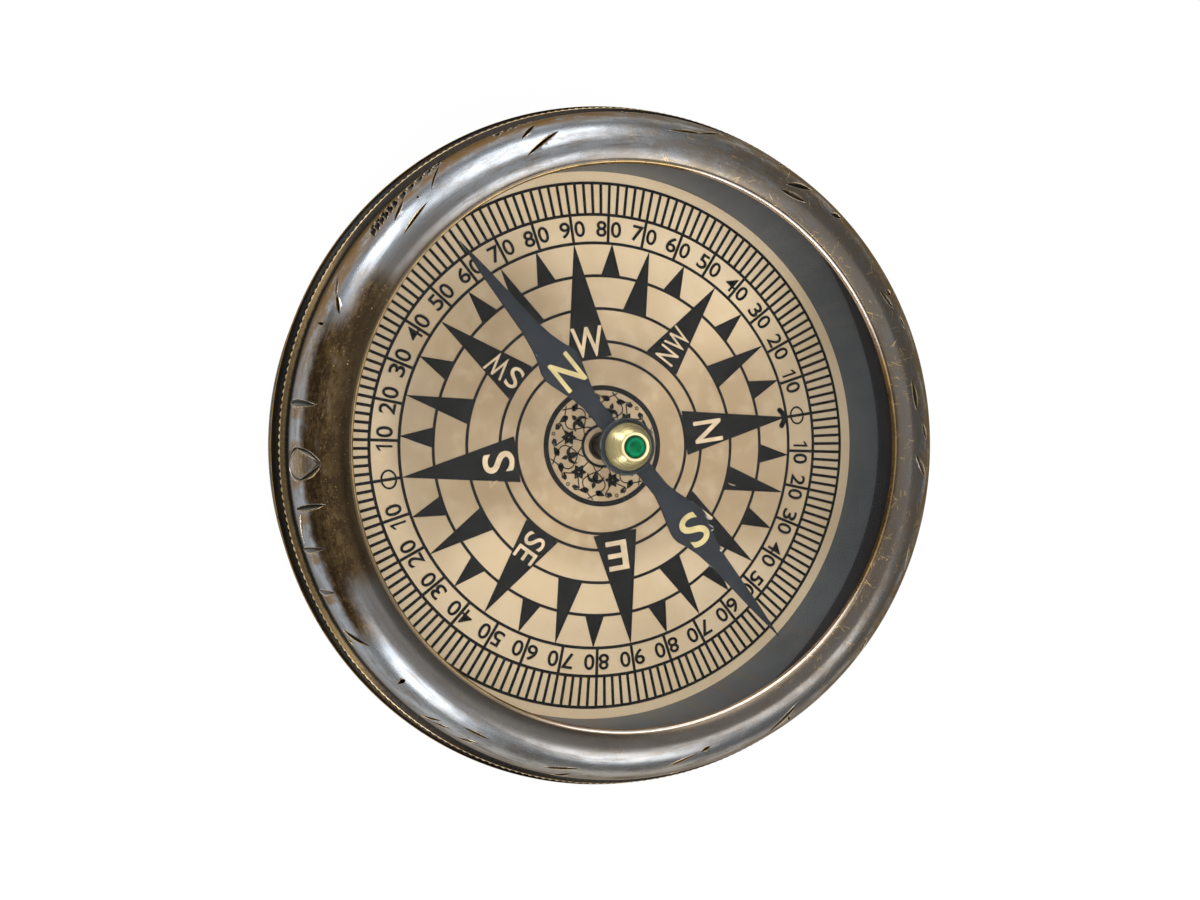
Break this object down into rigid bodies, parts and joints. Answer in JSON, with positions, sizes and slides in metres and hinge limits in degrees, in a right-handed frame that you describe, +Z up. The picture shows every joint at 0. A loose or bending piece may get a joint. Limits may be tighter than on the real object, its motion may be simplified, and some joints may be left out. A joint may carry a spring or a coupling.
{
  "type": "magnetic compass",
  "caption": "Round drum-cased magnetic compass with a milled ring, a domed engraved bezel and flat glass over a printed compass rose, and a needle on a jewelled pivot cap.",
  "frame": {"origin": "centre of the plane that the base rim stands on, under the middle of the case", "axes": "+Z up through the glass, +Y towards the printed north of the card, +X towards the printed east"},
  "size_m": [0.0764, 0.0764, 0.0218],
  "materials": {
    "case_dark": "dark antiqued, worn to brass on the edges",
    "ring_brass": "turned and milled, slightly tarnished",
    "bezel_grey": "antiqued grey over brass, engraved",
    "glass": "clear flat glass",
    "seal": "matt black",
    "seat_paint": "dark green-grey, satin",
    "sleeve": "dark satin",
    "card": "tan printing card",
    "ink": "black printing ink",
    "plate": "plain turned",
    "post_bronze": "dark bronze",
    "pin_steel": "ground to a point",
    "fixing_brass": "plain turned",
    "needle_paint": "blue-black, chipped at one corner",
    "hub_black": "satin black",
    "cap_brass": "polished turning",
    "setting": "pale polished rim",
    "jewel": "emerald green, faceted"
  },
  "bodies": {
    "case": {"case_body": "case_dark", "milled_ring": "ring_brass", "bezel": "bezel_grey", "glass": "glass", "glass_seal": "seal", "glass_seat": "seat_paint", "well_sleeve": "sleeve", "dial_card": "card", "dial_print": "ink", "dial_plate": "plate", "pivot_post": "post_bronze", "pivot_pin": "pin_steel", "pivot_washer": "fixing_brass", "pivot_nut": "fixing_brass"},
    "needle": {"needle_blade": "needle_paint", "needle_hub": "hub_black", "needle_cap": "cap_brass", "clinch_ring": "fixing_brass", "jewel_setting": "setting", "jewel": "jewel"}
  },
  "joints": [
    {"name": "needle_spin", "type": "hinge", "parent": "case", "child": "needle", "pos_m": [0, 0, 0.0186], "axis": [0, 0, 1], "continuous": true}
  ]
}
